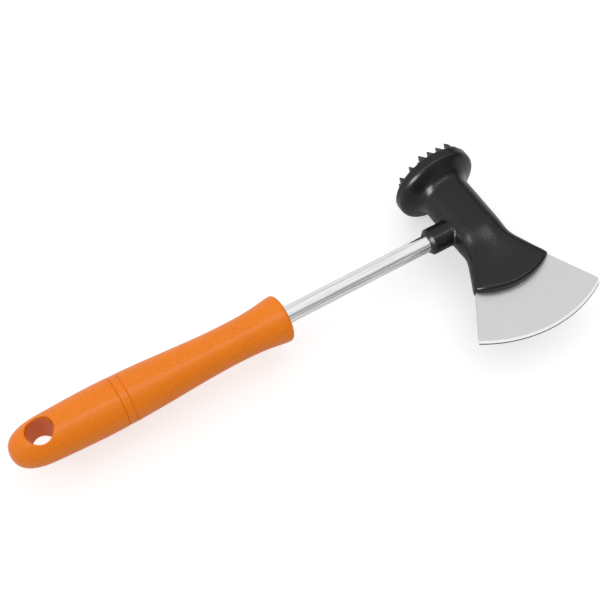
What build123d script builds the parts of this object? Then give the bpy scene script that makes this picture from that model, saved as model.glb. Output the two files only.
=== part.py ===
from build123d import *
import math
import os

# A meat hammer: a toothed striking face on one side of its moulded head, a chopping
# blade on the other, a steel tube for a shaft and a plastic handle with a hanging hole.
#
# It is drawn lying on its side, in millimetres: +X runs along the shaft from the handle
# to the head, +Y from the blade to the toothed face, and +Z is up, square to the blade.
# The pieces are drawn about the point where the shaft's axis crosses the head's axis.
# Each is then moved so that the origin is the bottom centre of the whole hammer's box.

# ---- shaft tube ----
TUBE_RADIUS = 4.0
TUBE_WALL = 0.8
TUBE_HEAD_END = 7.0            # X of the end inside the head
SLIP = 0.02                    # radial clearance of every fitted pair

# ---- handle: radii of the outline, and how far each lies behind the front face ----
HANDLE_FRONT = -98.6           # X of the front face
HANDLE_LENGTH = 128.9
FRONT_RADIUS = 10.95
FRONT_ROUNDING = 1.8
FLARE_RADIUS = 9.95           # where the flare runs down to the waist
FLARE_AT = 9.2
WAIST_RADIUS = 8.98
WAIST_AT = 25.0
RISE_RADIUS = 10.3             # half way up to the palm swell
RISE_AT = 58.6
SWELL_RADIUS = 11.2           # the palm swell, the widest place
SWELL_AT = 87.0
TAIL_RADIUS = 10.5             # where the round end starts
TAIL_BEFORE_END = 18.5
END_RADIUS = 8.5               # half way round the end
END_BEFORE_END = 6.0
FRONT_LAND = 8.0               # length of the front bearing on the tube
CORE_RADIUS = 6.4              # hollow between the bearing and the bush
REAR_BORE_RADIUS = 8.0
SHOULDER_BEHIND_FRONT = 56.4   # the rear bore's shoulder, where the bush seats

# ---- band and end cap ----
BAND_BEHIND_FRONT = 76.4       # front edge of the band
BAND_WIDTH = 3.8
BAND_SINK = 0.1                # the band lies this much under the handle's outline
GROOVE_CHAMFER = 0.32          # each of the two grooves is a pair of these
SPIGOT_BORE_RADIUS = 5.5
CAP_CORE_DEPTH = 22.0          # how far the cap is cored behind the band
HANG_HOLE_RADIUS = 6.1
HANG_HOLE_BEFORE_END = 14.5
HANG_HOLE_ROUNDING = 0.4

# ---- tube fastening in the handle ----
BUSH_FLANGE = 6.0              # length of the bush's wide end
BUSH_END_WALL = 4.0            # of which this much closes the end
BUSH_SLEEVE = 12.0             # length of the narrow part, in front of the shoulder
PLUG_LENGTH = 12.0
SCREW_RADIUS = 1.5
SCREW_LENGTH = 12.0
SCREW_HEAD_RADIUS = 2.8
SCREW_HEAD_HEIGHT = 2.0
SCREW_SLOT_WIDTH = 0.8
SCREW_SLOT_DEPTH = 0.9
WASHER_RADIUS = 4.2
WASHER_THICKNESS = 0.8

# ---- head ----
COLUMN_RADIUS = 11.8
FLANGE_RADIUS = 20.0
FLANGE_FRONT = 29.4            # Y of the flange's front face
FLANGE_UNDER = 24.6            # Y where the flange's underside meets its rim
FLANGE_ROOT = 20.2             # Y where the underside meets the column
FLANGE_ROOT_FILLET = 5.5
FLANGE_UNDER_FILLET = 2.6
FLANGE_FRONT_FILLET = 0.4
COLLAR_RADIUS = 6.22
COLLAR_MOUTH = -22.6           # X of the collar's mouth
COLLAR_CHAMFER = 1.3
COLLAR_FILLET = 1.0
CAVITY_RADIUS = 8.6            # socket in the column for the toothed face
CAVITY_FLOOR = 10.0
CHEEK_TOP = -6.0               # Y where the column starts to spread into the cheeks
FLARE_START = -12.5            # Y where the sides start to run out
FLARE_END = -32.5
FLARE_EASE = 0.35              # share of the flare's length over which its sides bend out
THINNING_EASE = 0.2            # share of the cheeks' length over which they start to thin
CHEEK_HALF_WIDTH = 19.9
CHEEK_HALF_THICKNESS = 5.0
CHEEK_ARC_CENTRE = -5.6        # Y of the centre of the cheeks' curved end
CHEEK_ARC_RADIUS = 34.4
CHEEK_EDGE_ROUNDING = 1.5
SQUARENESS = 3.2               # how boxy the cheeks' section gets; 2 is an ellipse
THINNING = 1.9                 # how early the cheeks get thin; 1 is a straight taper

# ---- shaft pin in the head ----
PIN_RADIUS = 1.5
PIN_X = 1.0
PIN_LENGTH = 16.5
PIN_RECESS = 1.0               # the pin's end lies this far under the cavity's floor

# ---- toothed face ----
DISC_RADIUS = 18.6
DISC_SEAT = 28.2               # Y of the recess in the flange that the disc seats in
DISC_THICKNESS = 1.75
TOOTH_HEIGHT = 5.0
TOOTH_PITCH = 4.77
TOOTH_TIP = 0.35               # width of the blunt tip
TOOTH_SHIFT = -0.2             # the tooth pattern's offset along X
TOOTH_INSET = 1.4              # teeth whose tip would lie nearer the disc's rim are left out
SPIGOT_LENGTH = 15.0
SPIGOT_WALL = 2.0

# ---- blade ----
BLADE_THICKNESS = 1.5
EDGE_ARC_CENTRE = -1.9         # Y of the centre of the cutting edge's arc
EDGE_ARC_RADIUS = 63.6
EDGE_THICKNESS = 0.55
BEVEL_WIDTH = 1.3
SIDE_AT = -35.0                # Y where the next two widths are given
HEEL_WIDTH = 20.6              # from the middle to the side nearer the handle
HEEL_SLOPE = 0.64              # how fast that side runs out, per unit of length
HEEL_ROUNDING = 0.6
TOE_WIDTH = 20.9               # from the middle to the far side
TOE_SLOPE = 0.52
TOE_ROUNDING = 3.0
TANG_HALF_WIDTH = 8.0
TANG_TOP = -12.5
TANG_CORNER_ROUNDING = 2.0
TANG_SHOULDER = -30.0          # Y where the tang meets the full width
TANG_HOLE_RADIUS = 2.2
TANG_HOLE_SPACING = 8.0
TANG_HOLE_Y = -21.0

HANDLE_END = HANDLE_FRONT - HANDLE_LENGTH
SHOULDER = HANDLE_FRONT - SHOULDER_BEHIND_FRONT
BUSH_REAR = SHOULDER - BUSH_FLANGE
TUBE_REAR = BUSH_REAR + BUSH_END_WALL
BAND_FRONT = HANDLE_FRONT - BAND_BEHIND_FRONT
BAND_REAR = BAND_FRONT - BAND_WIDTH
HANG_HOLE_X = HANDLE_END + HANG_HOLE_BEFORE_END
TUBE_BORE = TUBE_RADIUS - TUBE_WALL
DISC_TOP = DISC_SEAT + DISC_THICKNESS


def rod_x(radius, start, end):
    """A cylinder on the shaft's axis, from X = start to X = end."""
    base = Plane(origin=(start, 0, 0), x_dir=(0, 1, 0), z_dir=(1, 0, 0))
    return extrude(base * Circle(radius), end - start)


def rod_y(radius, start, end, x=0.0):
    """A cylinder along the head's axis, from Y = start to Y = end."""
    base = Plane(origin=(x, start, 0), x_dir=(1, 0, 0), z_dir=(0, 1, 0))
    return extrude(base * Circle(radius), end - start)


def handle_body():
    """The whole handle's outside as one turned solid, before it is divided."""
    outline = Spline(
        (HANDLE_FRONT, FRONT_RADIUS),
        (HANDLE_FRONT - FLARE_AT, FLARE_RADIUS),
        (HANDLE_FRONT - WAIST_AT, WAIST_RADIUS),
        (HANDLE_FRONT - RISE_AT, RISE_RADIUS),
        (HANDLE_FRONT - SWELL_AT, SWELL_RADIUS),
        (HANDLE_END + TAIL_BEFORE_END, TAIL_RADIUS),
        (HANDLE_END + END_BEFORE_END, END_RADIUS),
        (HANDLE_END, 0),
        tangents=[(-1, 0), (0, -1)],
    )
    rest = Polyline((HANDLE_END, 0), (HANDLE_FRONT, 0), (HANDLE_FRONT, FRONT_RADIUS))
    body = revolve(make_face(outline + rest), Axis.X, 360)
    rim = body.edges().filter_by(GeomType.CIRCLE).sort_by(Axis.X)[-1]
    return fillet(rim, FRONT_ROUNDING)


def slice_x(solid, start, end):
    """The part of a solid between X = start and X = end, start being nearer the tail."""
    size = 4 * SWELL_RADIUS
    return solid & Pos((start + end) / 2, 0, 0) * Box(end - start, size, size)


def outer_edge_at(solid, x):
    """The outermost round edge that a turned solid has at X = x."""
    near = [e for e in solid.edges() if abs(e.center().X - x) < 1e-3]
    return max(near, key=lambda e: e.length)


def make_grip(body):
    grip = slice_x(body, BAND_FRONT, HANDLE_FRONT + 1)
    grip = chamfer(outer_edge_at(grip, BAND_FRONT), GROOVE_CHAMFER)
    grip -= rod_x(TUBE_RADIUS + SLIP, BAND_FRONT, HANDLE_FRONT)
    grip -= rod_x(CORE_RADIUS, BAND_FRONT, HANDLE_FRONT - FRONT_LAND)
    grip -= rod_x(REAR_BORE_RADIUS + SLIP, BAND_FRONT, SHOULDER)
    return grip


def make_band(body):
    band = slice_x(body, BAND_REAR, BAND_FRONT)
    radius = outer_edge_at(band, BAND_REAR).bounding_box().size.Y / 2 - BAND_SINK
    band &= rod_x(radius, BAND_REAR, BAND_FRONT)
    ends = [outer_edge_at(band, BAND_REAR), outer_edge_at(band, BAND_FRONT)]
    band = chamfer(ends, GROOVE_CHAMFER)
    return band - rod_x(REAR_BORE_RADIUS + SLIP, BAND_REAR, BAND_FRONT)


def make_end_cap(body):
    cap = slice_x(body, HANDLE_END - 1, BAND_REAR)
    cap = chamfer(outer_edge_at(cap, BAND_REAR), GROOVE_CHAMFER)
    cap -= Pos(HANG_HOLE_X, 0, 0) * Cylinder(HANG_HOLE_RADIUS, 4 * SWELL_RADIUS)
    rims = [
        e for e in cap.edges()
        if abs(e.center().X - HANG_HOLE_X) < HANG_HOLE_RADIUS and abs(e.center().Z) > 1
    ]
    cap = fillet(rims, HANG_HOLE_ROUNDING)
    cap += rod_x(REAR_BORE_RADIUS, BAND_REAR, BUSH_REAR)
    return cap - rod_x(SPIGOT_BORE_RADIUS, BAND_REAR - CAP_CORE_DEPTH, BUSH_REAR)


def make_tube():
    tube = rod_x(TUBE_RADIUS, TUBE_REAR, TUBE_HEAD_END)
    tube -= rod_x(TUBE_BORE, TUBE_REAR, TUBE_HEAD_END)
    return tube - rod_y(PIN_RADIUS + SLIP, -2 * TUBE_RADIUS, 2 * TUBE_RADIUS, PIN_X)


def make_bush():
    bush = rod_x(REAR_BORE_RADIUS, BUSH_REAR, SHOULDER)
    bush += rod_x(CORE_RADIUS - SLIP, SHOULDER, SHOULDER + BUSH_SLEEVE)
    bush -= rod_x(TUBE_RADIUS + SLIP, TUBE_REAR, SHOULDER + BUSH_SLEEVE)
    return bush - rod_x(SCREW_RADIUS + SLIP, BUSH_REAR, TUBE_REAR)


def make_plug():
    plug = rod_x(TUBE_BORE - SLIP, TUBE_REAR, TUBE_REAR + PLUG_LENGTH)
    return plug - rod_x(SCREW_RADIUS + SLIP, TUBE_REAR, TUBE_REAR + PLUG_LENGTH)


def make_washer():
    washer = rod_x(WASHER_RADIUS, BUSH_REAR - WASHER_THICKNESS, BUSH_REAR)
    return washer - rod_x(SCREW_RADIUS + SLIP, BUSH_REAR - WASHER_THICKNESS, BUSH_REAR)


def make_screw():
    seat = BUSH_REAR - WASHER_THICKNESS
    top = seat - SCREW_HEAD_HEIGHT
    screw = rod_x(SCREW_HEAD_RADIUS, top, seat)
    screw = chamfer(screw.edges().sort_by(Axis.X)[0], SCREW_SLOT_DEPTH / 2)
    screw += rod_x(SCREW_RADIUS, seat, seat + SCREW_LENGTH)
    slot = Box(2 * SCREW_SLOT_DEPTH, 3 * SCREW_HEAD_RADIUS, SCREW_SLOT_WIDTH)
    return screw - Pos(top, 0, 0) * slot


def make_pin():
    top = CAVITY_FLOOR - PIN_RECESS
    pin = rod_y(PIN_RADIUS, top - PIN_LENGTH, top, PIN_X)
    return chamfer(pin.edges().filter_by(GeomType.CIRCLE), PIN_RADIUS / 5)


def cheek_section(y, half_width, half_thickness, power):
    """One closed cross-section of the cheeks, square to the head's axis."""
    count = 32
    points = []
    for i in range(count):
        c = math.cos(2 * math.pi * i / count)
        s = math.sin(2 * math.pi * i / count)
        x = half_width * math.copysign(abs(c) ** (2 / power), c)
        z = half_thickness * math.copysign(abs(s) ** (2 / power), s)
        points.append((x, y, z))
    return make_face(Spline(*points, periodic=True))


def eased(y, start, end, ease):
    """A ramp from 0 at Y = start to 1 at Y = end, with a gentle first share of its length."""
    run = min(max((start - y) / (start - end), 0), 1)
    rise = run - ease / 2 if run > ease else run ** 2 / (2 * ease)
    return rise / (1 - ease / 2)


def make_cheeks():
    """The head's lower part, from the round column out to the blade's holder."""
    bottom = CHEEK_ARC_CENTRE - CHEEK_ARC_RADIUS - 1
    base = Plane(origin=(0, CHEEK_TOP, 0), x_dir=(1, 0, 0), z_dir=(0, -1, 0))
    sections = [base * Circle(COLUMN_RADIUS)]
    flare = FLARE_START - FLARE_END
    stations = [(CHEEK_TOP + FLARE_START) / 2]
    stations += [FLARE_START - flare * part for part in (0, 0.17, 0.35, 0.67, 1)]
    stations += [(FLARE_END + bottom) / 2, bottom]
    for y in stations:
        flared = eased(y, FLARE_START, FLARE_END, FLARE_EASE)
        thick = (1 - eased(y, CHEEK_TOP, bottom, THINNING_EASE)) ** THINNING
        sections.append(cheek_section(
            y,
            COLUMN_RADIUS + flared * (CHEEK_HALF_WIDTH - COLUMN_RADIUS),
            CHEEK_HALF_THICKNESS + thick * (COLUMN_RADIUS - CHEEK_HALF_THICKNESS),
            2 + flared * (SQUARENESS - 2),
        ))
    cheeks = loft(sections)
    cheeks &= Pos(0, CHEEK_ARC_CENTRE, 0) * Cylinder(CHEEK_ARC_RADIUS, 4 * COLUMN_RADIUS)
    end = cheeks.faces().filter_by(GeomType.CYLINDER).sort_by(Axis.Y)[0]
    return fillet(end.edges(), CHEEK_EDGE_ROUNDING)


def make_column():
    """The turned upper part of the head: the column and its flange."""
    profile = FilletPolyline(
        (COLUMN_RADIUS, CHEEK_TOP),
        (COLUMN_RADIUS, FLANGE_ROOT),
        (FLANGE_RADIUS, FLANGE_UNDER),
        (FLANGE_RADIUS, FLANGE_FRONT),
        (0, FLANGE_FRONT),
        radius=[FLANGE_ROOT_FILLET, FLANGE_UNDER_FILLET, FLANGE_FRONT_FILLET],
    )
    rest = Polyline((0, FLANGE_FRONT), (0, CHEEK_TOP), (COLUMN_RADIUS, CHEEK_TOP))
    return revolve(make_face(profile + rest), Axis.Y, 360)


def make_head(blade):
    head = make_column() + make_cheeks()
    collar = rod_x(COLLAR_RADIUS, COLLAR_MOUTH, 0)
    head += chamfer(collar.edges().sort_by(Axis.X)[0], COLLAR_CHAMFER)
    side = [f for f in head.faces().filter_by(GeomType.CYLINDER) if f.radius == COLLAR_RADIUS]
    mouth_edge = COLLAR_MOUTH + COLLAR_CHAMFER
    roots = [
        e for e in ShapeList(side).edges()
        if e.geom_type != GeomType.LINE and e.center().X > mouth_edge + COLLAR_FILLET
    ]
    head = fillet(roots, COLLAR_FILLET)
    head -= rod_x(TUBE_RADIUS + SLIP, COLLAR_MOUTH, TUBE_HEAD_END)
    head -= rod_y(CAVITY_RADIUS + SLIP, CAVITY_FLOOR, FLANGE_FRONT)
    head -= rod_y(DISC_RADIUS + SLIP, DISC_SEAT, FLANGE_FRONT)
    head -= rod_y(PIN_RADIUS + SLIP, CAVITY_FLOOR - PIN_RECESS - PIN_LENGTH, CAVITY_FLOOR, PIN_X)
    return head - blade


def make_tooth():
    """One pyramid with a blunt tip, its base centred on the origin and its tip along +Y."""
    base = Plane(origin=(0, 0, 0), x_dir=(1, 0, 0), z_dir=(0, 1, 0))
    tip = base.offset(TOOTH_HEIGHT)
    return loft([base * Rectangle(TOOTH_PITCH, TOOTH_PITCH), tip * Rectangle(TOOTH_TIP, TOOTH_TIP)])


def make_toothed_face():
    face = rod_y(DISC_RADIUS, DISC_SEAT, DISC_TOP)
    face += rod_y(CAVITY_RADIUS, DISC_SEAT - SPIGOT_LENGTH, DISC_SEAT)
    face -= rod_y(CAVITY_RADIUS - SPIGOT_WALL, DISC_SEAT - SPIGOT_LENGTH, DISC_SEAT)
    tooth = make_tooth()
    furthest = DISC_RADIUS - TOOTH_INSET
    reach = int(furthest / TOOTH_PITCH) + 1
    teeth = []
    for i in range(-reach, reach + 1):
        for k in range(-reach, reach + 1):
            x = TOOTH_SHIFT + i * TOOTH_PITCH
            z = k * TOOTH_PITCH
            if math.hypot(x, z) <= furthest:
                teeth.append(Pos(x, DISC_TOP, z) * tooth)
    field = rod_y(DISC_RADIUS, DISC_TOP, DISC_TOP + TOOTH_HEIGHT)
    return face + ((Part() + teeth) & field)


def make_blade():
    lowest = EDGE_ARC_CENTRE - EDGE_ARC_RADIUS
    corners = []
    for y in (TANG_SHOULDER, lowest):
        corners.append((-HEEL_WIDTH - HEEL_SLOPE * (SIDE_AT - y), y))
    for y in (lowest, TANG_SHOULDER):
        corners.append((TOE_WIDTH + TOE_SLOPE * (SIDE_AT - y), y))
    fan = Polygon(*corners, align=None)
    fan &= Pos(0, EDGE_ARC_CENTRE) * Circle(EDGE_ARC_RADIUS)
    fan = fillet(fan.vertices().filter_by(lambda v: v.Y < SIDE_AT and v.X < 0), HEEL_ROUNDING)
    fan = fillet(fan.vertices().filter_by(lambda v: v.Y < SIDE_AT).sort_by(Axis.X)[-1], TOE_ROUNDING)
    tang_length = TANG_TOP - TANG_SHOULDER
    tang = Pos(0, TANG_TOP - tang_length / 2) * Rectangle(2 * TANG_HALF_WIDTH, tang_length)
    tang = fillet(tang.vertices().group_by(Axis.Y)[-1], TANG_CORNER_ROUNDING)
    for side in (-1, 1):
        tang -= Pos(side * TANG_HOLE_SPACING / 2, TANG_HOLE_Y) * Circle(TANG_HOLE_RADIUS)
    plate = extrude(fan + tang, BLADE_THICKNESS / 2, both=True)
    half = BLADE_THICKNESS / 2
    lens = Polyline(
        (0, -half),
        (EDGE_ARC_RADIUS - BEVEL_WIDTH, -half),
        (EDGE_ARC_RADIUS, -EDGE_THICKNESS / 2),
        (EDGE_ARC_RADIUS, EDGE_THICKNESS / 2),
        (EDGE_ARC_RADIUS - BEVEL_WIDTH, half),
        (0, half),
        close=True,
    )
    grind = revolve(make_face(Plane.XZ * lens), Axis.Z, 360)
    return plate & Pos(0, EDGE_ARC_CENTRE, 0) * grind


def main():
    body = handle_body()
    blade = make_blade()
    pieces = {
        "blade": blade,
        "head_body": make_head(blade),
        "toothed_face": make_toothed_face(),
        "shaft_tube": make_tube(),
        "shaft_pin": make_pin(),
        "tube_plug": make_plug(),
        "tube_bush": make_bush(),
        "bush_screw": make_screw(),
        "screw_washer": make_washer(),
        "grip_shell": make_grip(body),
        "grip_band": make_band(body),
        "end_cap": make_end_cap(body),
    }
    boxes = [piece.bounding_box() for piece in pieces.values()]
    low = [min(getattr(box.min, axis) for box in boxes) for axis in "XYZ"]
    high = [max(getattr(box.max, axis) for box in boxes) for axis in "XYZ"]
    to_base = Pos(-(low[0] + high[0]) / 2, -(low[1] + high[1]) / 2, -low[2])
    os.makedirs("parts", exist_ok=True)
    for name, piece in pieces.items():
        export_step(to_base * piece, f"parts/{name}.step")
    print("origin shift", to_base.position)


main()
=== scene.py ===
# %% [markdown]
# # A meat hammer, from the imported frame to a finished picture
#
# The hammer has two working ends on one black moulded head: a toothed striking face
# and a chopping blade. A steel tube joins the head to an orange plastic handle.
# Every piece's shape comes from the engineering model, where the teeth, the bevel and
# the grooves are real geometry, so this lesson is about finishes and light. First the
# model is loaded, and its box is kept for placing the floor, the lights and the camera.

# %% load the frame
import math

import bpy
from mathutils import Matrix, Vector


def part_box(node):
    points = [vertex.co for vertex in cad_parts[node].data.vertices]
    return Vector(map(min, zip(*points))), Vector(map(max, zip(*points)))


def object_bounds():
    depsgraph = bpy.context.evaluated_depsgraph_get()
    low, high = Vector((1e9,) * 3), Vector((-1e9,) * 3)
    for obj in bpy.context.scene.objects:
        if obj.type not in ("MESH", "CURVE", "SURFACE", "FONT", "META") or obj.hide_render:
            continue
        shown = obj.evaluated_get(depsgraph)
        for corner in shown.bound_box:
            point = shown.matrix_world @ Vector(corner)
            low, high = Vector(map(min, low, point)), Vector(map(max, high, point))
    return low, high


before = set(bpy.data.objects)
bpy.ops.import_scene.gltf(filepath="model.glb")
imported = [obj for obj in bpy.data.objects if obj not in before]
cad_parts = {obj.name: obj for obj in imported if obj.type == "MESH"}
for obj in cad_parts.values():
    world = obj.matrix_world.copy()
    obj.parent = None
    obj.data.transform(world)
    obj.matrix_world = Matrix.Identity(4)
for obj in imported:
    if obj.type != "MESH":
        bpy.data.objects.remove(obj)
cad_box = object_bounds()
print("pieces:", ", ".join(sorted(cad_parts)))

MM = 0.001

# %% [markdown]
# ## Shader maths as Python
#
# A procedural finish is a graph of nodes, and long graphs are hard to read as calls.
# The small class below wraps a node's output, so that `1 - mask * 0.5` adds the Math
# nodes by itself. It has only the operators that the finishes use, with their reflected
# forms, because a plain number often stands on the left.

# %% a wrapped socket


class Wire:
    """A node's number output. Python's operators on it add Math nodes."""

    def __init__(self, finish, socket):
        self.finish = finish
        self.socket = socket

    def math(self, operation, a, b=0.0):
        return self.finish.node("ShaderNodeMath", {"operation": operation}, {0: a, 1: b})

    def __add__(self, other):
        return self.math("ADD", self, other)

    def __rsub__(self, other):
        return self.math("SUBTRACT", other, self)

    def __mul__(self, other):
        return self.math("MULTIPLY", self, other)

    __radd__ = __add__
    __rmul__ = __mul__


# %% [markdown]
# ## A finish to put nodes in
#
# Each material is one Principled shader with nodes round it. Every node comes from one
# method, `node`, that takes its type, its settings and the values or links of its
# sockets, so the kinds of node that a finish needs often are one line each: noise,
# stretched coordinates, a ramp, a blend of two colours and a bump.

# %% a finish


class Finish:
    """One material, built round a Principled shader."""

    def __init__(self, name, **constants):
        self.material = bpy.data.materials.new(name)
        self.material.use_nodes = True
        self.tree = self.material.node_tree
        self.shader = self.tree.nodes["Principled BSDF"]
        for socket, value in constants.items():
            self.shader.inputs[socket.replace("_", " ")].default_value = value
        self.place = self.node("ShaderNodeTexCoord", output="Object")

    def node(self, kind, settings=None, sockets=None, output=0):
        """Adds a node: settings first, then its sockets' values or links."""
        node = self.tree.nodes.new(kind)
        for key, value in (settings or {}).items():
            if key == "stops":
                ramp = node.color_ramp.elements
                while len(ramp) < len(value):
                    ramp.new(0.5)
                for element, (position, grey) in zip(ramp, value):
                    element.position = position
                    element.color = (grey, grey, grey, 1)
            else:
                setattr(node, key, value)
        for key, value in (sockets or {}).items():
            self.set(node.inputs[key], value)
        return Wire(self, node.outputs[output])

    def set(self, socket, value):
        if isinstance(value, Wire):
            self.tree.links.new(value.socket, socket)
        else:
            socket.default_value = value

    def drive(self, **sockets):
        """Feeds the shader's own sockets, such as Base_Color or Roughness."""
        for socket, value in sockets.items():
            self.set(self.shader.inputs[socket.replace("_", " ")], value)

    def noise(self, size, detail=3.0, place=None):
        """Soft random variation from 0 to 1, with features about size metres across."""
        values = {"Vector": place or self.place, "Scale": 1 / size, "Detail": detail}
        return self.node("ShaderNodeTexNoise", {}, values, output="Fac")

    def stretch(self, x=1.0, y=1.0, z=1.0):
        """The object's own coordinates, scaled by these amounts along each axis."""
        return self.node(
            "ShaderNodeVectorMath", {"operation": "MULTIPLY"}, {0: self.place, 1: (x, y, z)}
        )

    def ramp(self, value, *stops):
        """Remaps a number through (position, grey) stops."""
        return self.node("ShaderNodeValToRGB", {"stops": stops}, {"Fac": value})

    def blend(self, share, low, high):
        """A colour between low and high."""
        return self.node(
            "ShaderNodeMix", {"data_type": "RGBA"}, {0: share, 6: low, 7: high}, output=2
        )

    def bump(self, height, depth, strength):
        """Relief of depth metres for a height of 1."""
        sockets = {"Height": height, "Distance": depth, "Strength": strength}
        return self.node("ShaderNodeBump", {}, sockets)

    def finish_with(self, output_node, share, low, high):
        """Ends the tree in a mix of two shaders, low where share is 0 and high where it is 1."""
        mix = self.node("ShaderNodeMixShader", {}, {0: share, 1: low, 2: high})
        self.set(self.tree.nodes[output_node].inputs["Surface"], mix)


# %% [markdown]
# ## Two helpers
#
# Many masks need a soft threshold: bands of light, the bevel, the end of a table. A
# Map Range node with smooth steps gives it, and its limits may also run backwards. The
# other helper puts a finish on pieces and prints which ones they are.

# %% helpers


def step(value, start, end):
    """A smooth rise from 0 to 1 as a wire goes from start to end."""
    return value.finish.node(
        "ShaderNodeMapRange",
        {"interpolation_type": "SMOOTHSTEP"},
        {"Value": value, "From Min": start, "From Max": end},
    )


def dress(finish, *nodes):
    """Gives CAD nodes one finish."""
    for name in nodes:
        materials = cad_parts[name].data.materials
        materials.clear()
        materials.append(finish.material)
    print(finish.material.name, "on", ", ".join(nodes))


# %% [markdown]
# ## Orange handle plastic
#
# The handle, its band and its end cap are moulded in one semi-gloss orange plastic.
# Real mouldings are never quite one colour: pigment clouds slightly, and the mould's
# fine spark texture speckles the surface and breaks up the shine. A painted texture
# would need an image, so three sizes of noise give the cloudiness, the uneven gloss
# and the speckle. The speckle also lifts the surface a little, as the mould does.

# %% handle finish
ORANGE = (0.85, 0.222, 0.002, 1)
ORANGE_DEEP = (0.68, 0.146, 0.001, 1)
ORANGE_CLOUD_SIZE = 14 * MM
ORANGE_WEAR_SIZE = 5 * MM
SPECKLE_SIZE = 0.45 * MM
SPECKLE_HEIGHT = 0.02 * MM


def handle_finish():
    orange = Finish("handle_orange", Specular_IOR_Level=0.30)
    clouds = orange.noise(ORANGE_CLOUD_SIZE)
    speckle = orange.ramp(orange.noise(SPECKLE_SIZE, detail=1.0), (0.38, 0.0), (0.62, 1.0))
    wear = orange.noise(ORANGE_WEAR_SIZE, detail=4.0)
    orange.drive(
        Base_Color=orange.blend(clouds * 0.4 + speckle * 0.6, ORANGE_DEEP, ORANGE),
        Roughness=0.25 + wear * 0.10 + speckle * 0.06,
        Normal=orange.bump(speckle, SPECKLE_HEIGHT, strength=0.6),
    )
    return orange


dress(handle_finish(), "grip_shell", "grip_band", "end_cap")

# %% [markdown]
# ## Black head plastic
#
# The head and its toothed face are black nylon with a soft gloss. The mould is
# bead-blasted, so the surface has a fine even pebble. Black plastic shows almost no
# colour of its own: what the eye reads is its shine, so the colour stays near zero and
# the roughness does the work. It varies in patches, or the broad faces would look like
# flat paint.

# %% head finish
BLACK = (0.001, 0.001, 0.001, 1)
BLACK_WORN = (0.006, 0.006, 0.006, 1)
BLACK_PATCH_SIZE = 9 * MM
PEBBLE_SIZE = 0.5 * MM
PEBBLE_HEIGHT = 0.03 * MM


def head_finish():
    black = Finish("head_black", Specular_IOR_Level=0.30)
    pebble = black.noise(PEBBLE_SIZE, detail=2.0)
    patches = black.noise(BLACK_PATCH_SIZE)
    black.drive(
        Base_Color=black.blend(pebble * 0.6 + patches * 0.4, BLACK, BLACK_WORN),
        Roughness=0.19 + patches * 0.08 + pebble * 0.08,
        Normal=black.bump(pebble, PEBBLE_HEIGHT, strength=0.5),
    )
    return black


dress(head_finish(), "head_body", "toothed_face")

# %% [markdown]
# ## Bright tube
#
# The shaft is steel tube, drawn through a die, which leaves long faint lines. Noise
# that is squeezed along X becomes streaks, and a ramp sharpens them into lines. They
# change the colour and the relief together, so they break up whatever the tube
# reflects, as drawn lines do.

# %% tube finish
STEEL = (0.70, 0.70, 0.70, 1)
STEEL_BRIGHT = (0.84, 0.84, 0.84, 1)
SMEAR_SIZE = 6 * MM
LINE_WIDTH = 0.35 * MM
LINE_HEIGHT = 0.006 * MM


def tube_finish():
    bright = Finish("tube_bright_steel", Metallic=1.0)
    streaks = bright.noise(LINE_WIDTH, place=bright.stretch(x=0.02))
    smears = bright.noise(SMEAR_SIZE, place=bright.stretch(x=0.4))
    lines = bright.ramp(streaks, (0.36, 0.0), (0.60, 1.0))
    bright.drive(
        Base_Color=bright.blend(lines, STEEL, STEEL_BRIGHT),
        Roughness=0.10 + streaks * 0.05 + smears * 0.05,
        Normal=bright.bump(lines, LINE_HEIGHT, strength=0.8),
    )
    return bright


dress(tube_finish(), "shaft_tube")

# %% [markdown]
# ## Ground blade
#
# The blade is ground flat, which leaves a fine grain and a soft shine. Its bevel is
# ground again, brighter. Along the cutting edge a narrow dark line is painted shade: it
# stands in for the dark that the edge's thin face reflects. Both follow the edge's arc, so
# the distance from the arc's centre picks them out. The centre comes from the model: it
# lies on the head's axis, one radius in from the middle of the edge.

# %% blade finish
GROUND = (0.58, 0.58, 0.58, 1)
GROUND_BRIGHT = (0.73, 0.73, 0.73, 1)
BEVEL_STEEL = (0.88, 0.88, 0.88, 1)
# painted shade: the cutting edge's dark line stands in for the dark that the edge's thin face
# reflects
EDGE_PAINTED_SHADE = (0.06, 0.06, 0.06, 1)
EDGE_RADIUS = 63.6 * MM
EDGE_BAND = 0.12 * MM
BEVEL_WIDTH = 1.3 * MM
STEEL_CLOUD_SIZE = 8 * MM
STEEL_SPECK_SIZE = 0.5 * MM
GRAIN_WIDTH = 0.18 * MM
GRAIN_HEIGHT = 0.004 * MM


def distance_from_arc_centre(ground):
    """How far a point of the blade lies from the centre of its cutting edge's arc."""
    blade_low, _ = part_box("blade")
    face_low, face_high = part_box("toothed_face")
    centre_of_arc = ((face_low[0] + face_high[0]) / 2, blade_low[1] + EDGE_RADIUS, 0)
    ends = {0: ground.stretch(z=0), 1: centre_of_arc}
    return ground.node("ShaderNodeVectorMath", {"operation": "DISTANCE"}, ends, output="Value")


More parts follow.
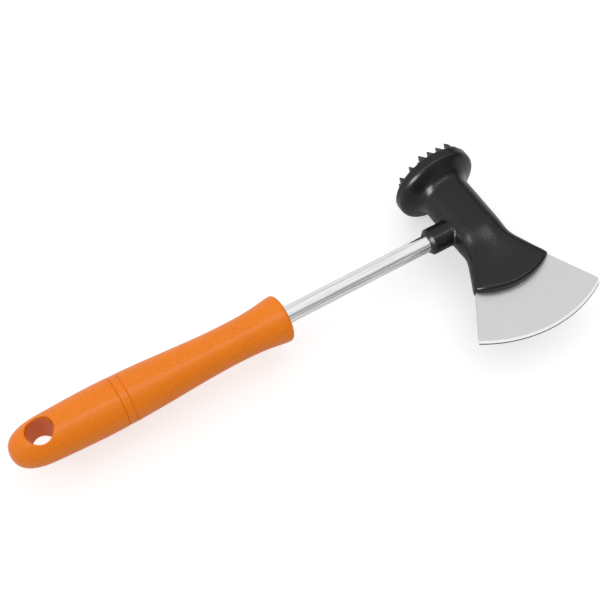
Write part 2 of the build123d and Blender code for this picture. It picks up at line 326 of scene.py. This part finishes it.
def blade_finish():
    ground = Finish("blade_ground_steel", Metallic=1.0)
    grain = ground.noise(GRAIN_WIDTH, place=ground.stretch(x=0.03))
    speck = ground.noise(STEEL_SPECK_SIZE, detail=2.0)
    cloud = ground.noise(STEEL_CLOUD_SIZE)
    steel = ground.blend(grain * 0.3 + speck * 0.4 + cloud * 0.3, GROUND, GROUND_BRIGHT)
    reach = distance_from_arc_centre(ground)
    # mask for the painted shade along the cutting edge, a thin dark line standing in for a
    # reflection of the dark below
    painted_dark_edge = step(reach, EDGE_RADIUS - 2 * EDGE_BAND, EDGE_RADIUS - EDGE_BAND)
    bevel_start = EDGE_RADIUS - BEVEL_WIDTH
    bevel = step(reach, bevel_start - EDGE_BAND, bevel_start + EDGE_BAND)
    steel = ground.blend(bevel, steel, BEVEL_STEEL)
    ground.drive(
        Base_Color=ground.blend(painted_dark_edge, steel, EDGE_PAINTED_SHADE),
        Roughness=0.30 + grain * 0.08 + cloud * 0.06,
        Normal=ground.bump(grain, GRAIN_HEIGHT, strength=0.5),
    )
    return ground


dress(blade_finish(), "blade")

# %% [markdown]
# ## Hidden hardware and core
#
# The pin, the screw and its washer are zinc-plated steel, and the plug and the bush are
# plastic without pigment. They are hidden inside the hammer and show only when it is
# taken apart, so each has a simple finish: one noise for the zinc's spangle, and one
# for the plastic's cloudiness.

# %% hardware and core finishes
ZINC = (0.50, 0.50, 0.49, 1)
ZINC_BRIGHT = (0.66, 0.66, 0.63, 1)
NATURAL = (0.66, 0.64, 0.58, 1)
NATURAL_PALE = (0.76, 0.75, 0.70, 1)
SPANGLE_SIZE = 0.8 * MM
NATURAL_CLOUD_SIZE = 3 * MM


def hardware_finish():
    zinc = Finish("hardware_zinc", Metallic=1.0)
    spangle = zinc.noise(SPANGLE_SIZE)
    zinc.drive(
        Base_Color=zinc.blend(spangle, ZINC, ZINC_BRIGHT),
        Roughness=0.32 + spangle * 0.2,
    )
    return zinc


def core_finish():
    natural = Finish("core_natural_plastic")
    clouds = natural.noise(NATURAL_CLOUD_SIZE)
    natural.drive(
        Base_Color=natural.blend(clouds, NATURAL, NATURAL_PALE),
        Roughness=0.42 + clouds * 0.15,
    )
    return natural


dress(hardware_finish(), "shaft_pin", "bush_screw", "screw_washer")
dress(core_finish(), "tube_plug", "tube_bush")

# %% [markdown]
# ## Floor
#
# The hammer lies on a plain floor that touches its lowest point. A single plane is
# enough, because the floor has no thickness to show. It is as wide as a room, so from
# above it fills the view, and from low down it meets the pale wall far behind.

# %% floor plane
FLOOR_SIZE = 6.0

box_low, box_high = (Vector(corner) for corner in cad_box)
centre = (box_low + box_high) / 2
bpy.ops.mesh.primitive_plane_add(size=FLOOR_SIZE, location=(centre.x, centre.y, box_low.z))
floor = bpy.context.object
floor.name = "floor"
print("floor at height", round(box_low.z, 5))

# %% [markdown]
# ## Paper, and a table to mirror
#
# The floor is pale paper, lit a little from inside like a light table, so that it stays
# white with only a soft shadow. Shiny pieces also mirror it, and there a white floor
# without end would turn black plastic grey. So what the pieces mirror is a white table
# that ends in front of the hammer, with a dark room beyond. Only rays that come straight
# from the camera see the glowing paper, wherever the camera stands.

# %% floor finish
FLOOR_GLOW = 0.54
PAPER = (0.60, 0.60, 0.60, 1)
PAPER_PALE = (0.63, 0.63, 0.63, 1)
FIBRE_SIZE = 30 * MM
TABLE_WHITE = (0.92, 0.92, 0.92, 1)
TABLE_DARK = (0.08, 0.08, 0.08, 1)
TABLE_FRONT = 95 * MM
TABLE_FADE = 35 * MM


def mirrored_table(paper):
    """What the pieces see: a white table, dark where it has ended in front."""
    across = paper.node("ShaderNodeSeparateXYZ", {}, {"Vector": paper.place}, output="Y")
    past_front = step(across * -1, TABLE_FRONT, TABLE_FRONT + TABLE_FADE)
    white = paper.node("ShaderNodeBsdfDiffuse", {}, {"Color": TABLE_WHITE})
    dark = paper.node("ShaderNodeBsdfDiffuse", {}, {"Color": TABLE_DARK})
    return paper.node("ShaderNodeMixShader", {}, {0: past_front, 1: white, 2: dark})


def floor_finish():
    paper = Finish("floor_paper", Roughness=0.9, Emission_Color=(1, 1, 1, 1))
    fibre = paper.noise(FIBRE_SIZE)
    paper.drive(Base_Color=paper.blend(fibre, PAPER, PAPER_PALE), Emission_Strength=FLOOR_GLOW)
    direct = paper.node("ShaderNodeLightPath", output="Is Camera Ray")
    glowing = Wire(paper, paper.shader.outputs[0])
    paper.finish_with("Material Output", direct, mirrored_table(paper), glowing)
    return paper


floor.data.materials.append(floor_finish().material)
print("floor finish:", floor.data.materials[0].name)

# %% [markdown]
# ## The tent
#
# What looks like the tube's colour is really the room round it, so shiny steel is lit
# by shaping the room. Here the room is a white tent, brightest overhead. A dim band on
# the near side draws the dark stripe along the tube and deepens the handle's lower half.
# The back is a little dimmer than the top, and the right side is dark, which keeps the
# far edge of the black head from shining. Rays from the camera see a plain pale wall
# instead.
#
# A band is given by numbers along a direction's own axes: Z is 0 at the horizon and 1
# straight up, X points right and Y away. Each pair says where the band starts to fade
# in and where it is full. The bands multiply to the share of the tent's full light that
# comes from a direction, and that share mixes an unlit background with a bright one.

# %% the tent
TENT_TOP = 1.06
NEAR_DIM = 0.42
NEAR_FROM_TOP = (0.84, 0.52)
NEAR_FROM_FLOOR = (0.0, 0.30)
NEAR_FROM_MIDDLE = (0.15, 0.60)
BACK_DIM = 0.80
BACK_FROM_TOP = (0.86, 0.66)
BACK_FROM_FLOOR = (0.15, 0.50)
BACK_FROM_MIDDLE = (0.15, 0.45)
RIGHT_DIM = 0.25
RIGHT_FROM_TOP = (0.55, 0.25)
RIGHT_FROM_MIDDLE = (0.45, 0.75)
WALL = (0.95, 0.95, 0.95, 1)


class Sky(Finish):
    """The world's nodes, with the same shorthand as a finish."""

    def __init__(self, world):
        world.use_nodes = True
        self.tree = world.node_tree
        self.shader = self.tree.nodes["Background"]


world = bpy.data.worlds.new("tent")
bpy.context.scene.world = world
sky = Sky(world)
direction = sky.node("ShaderNodeTexCoord", output="Generated")
toward = {
    axis: sky.node("ShaderNodeSeparateXYZ", {}, {"Vector": direction}, output=axis)
    for axis in "XYZ"
}
near_side = (
    step(toward["Z"], *NEAR_FROM_TOP)
    * step(toward["Z"], *NEAR_FROM_FLOOR)
    * step(toward["Y"] * -1, *NEAR_FROM_MIDDLE)
)
back_side = (
    step(toward["Z"], *BACK_FROM_TOP)
    * step(toward["Z"], *BACK_FROM_FLOOR)
    * step(toward["Y"], *BACK_FROM_MIDDLE)
)
right_side = step(toward["Z"], *RIGHT_FROM_TOP) * step(toward["X"], *RIGHT_FROM_MIDDLE)
share = 1.0
for side, dim in ((near_side, NEAR_DIM), (back_side, BACK_DIM), (right_side, RIGHT_DIM)):
    share = share * (1 - side * (1 - dim))

sky.drive(Color=(1, 1, 1, 1), Strength=TENT_TOP)
bright = Wire(sky, sky.shader.outputs[0])
unlit = sky.node("ShaderNodeBackground", {}, {"Strength": 0.0})
tent = sky.node("ShaderNodeMixShader", {}, {0: share, 1: unlit, 2: bright})
wall = sky.node("ShaderNodeBackground", {}, {"Color": WALL, "Strength": 1.0})
direct = sky.node("ShaderNodeLightPath", output="Is Camera Ray")
sky.finish_with("World Output", direct, tent, wall)
print("tent with", len(sky.tree.nodes), "nodes")

# %% [markdown]
# ## Lights
#
# The tent alone gives soft, even light. Two panels add the crisp lines that make
# plastic look moulded: a long strip overhead, parallel to the handle, which draws a
# pale line along the handle and the collar, and a broad window at the left for the
# glints on the head. Bare metal would mirror them as burnt-out stripes, so each panel
# lights only the plastic pieces it is meant for. An angle of 0 is in front of the
# hammer, and positive angles are to the right.

# %% lights


def direction_to(azimuth, elevation):
    """The unit vector from the hammer towards these angles, in degrees."""
    a, e = math.radians(azimuth), math.radians(elevation)
    return Vector((math.sin(a) * math.cos(e), -math.cos(a) * math.cos(e), math.sin(e)))


def panel(name, azimuth, elevation, distance, width, depth, watts):
    """A soft rectangular light that faces the hammer."""
    light = bpy.data.lights.new(name, "AREA")
    light.shape = "RECTANGLE"
    light.size = width
    light.size_y = depth
    light.energy = watts
    lamp = bpy.data.objects.new(name, light)
    bpy.context.scene.collection.objects.link(lamp)
    away = direction_to(azimuth, elevation)
    lamp.location = centre + away * distance
    lamp.rotation_euler = away.to_track_quat("Z", "Y").to_euler()
    lamp.visible_camera = False
    return lamp


def only_for(lamp, *nodes):
    """Lets a lamp light these pieces and nothing else."""
    pieces = bpy.data.collections.new(lamp.name + "_lit")
    for name in nodes:
        pieces.objects.link(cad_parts[name])
    lamp.light_linking.receiver_collection = pieces
    print(lamp.name, "lights", ", ".join(nodes))


handle_strip = panel(
    "handle_strip", azimuth=0, elevation=77, distance=1.2, width=1.8, depth=0.07, watts=4.5
)
only_for(handle_strip, "grip_shell", "grip_band", "end_cap", "head_body")
left_window = panel(
    "left_window", azimuth=-68, elevation=28, distance=1.0, width=1.0, depth=0.40, watts=26.0
)
only_for(left_window, "head_body", "toothed_face")

# %% [markdown]
# ## Camera
#
# The camera looks down on the hammer from the front left, close enough for the handle
# to look larger than the head. It has a portrait lens and aims a little beside the
# middle of the hammer. The Standard view keeps the orange as it was set, where a
# filmic one would wash it out.

# %% camera
CAMERA_AZIMUTH = -31.36
CAMERA_ELEVATION = 57.14
CAMERA_DISTANCE = 0.5409
CAMERA_LENS = 72.8
SENSOR_WIDTH = 36
AIM_FROM_CENTRE = Vector((11.04, 15.66, 0.0)) * MM

bpy.context.scene.view_settings.view_transform = "Standard"
camera_data = bpy.data.cameras.new("camera")
camera_data.lens = CAMERA_LENS
camera_data.sensor_width = SENSOR_WIDTH
camera = bpy.data.objects.new("camera", camera_data)
bpy.context.scene.collection.objects.link(camera)
back = direction_to(CAMERA_AZIMUTH, CAMERA_ELEVATION)
camera.location = centre + AIM_FROM_CENTRE + back * CAMERA_DISTANCE
camera.rotation_euler = back.to_track_quat("Z", "Y").to_euler()
bpy.context.scene.camera = camera
print("camera at", [round(v, 3) for v in camera.location])
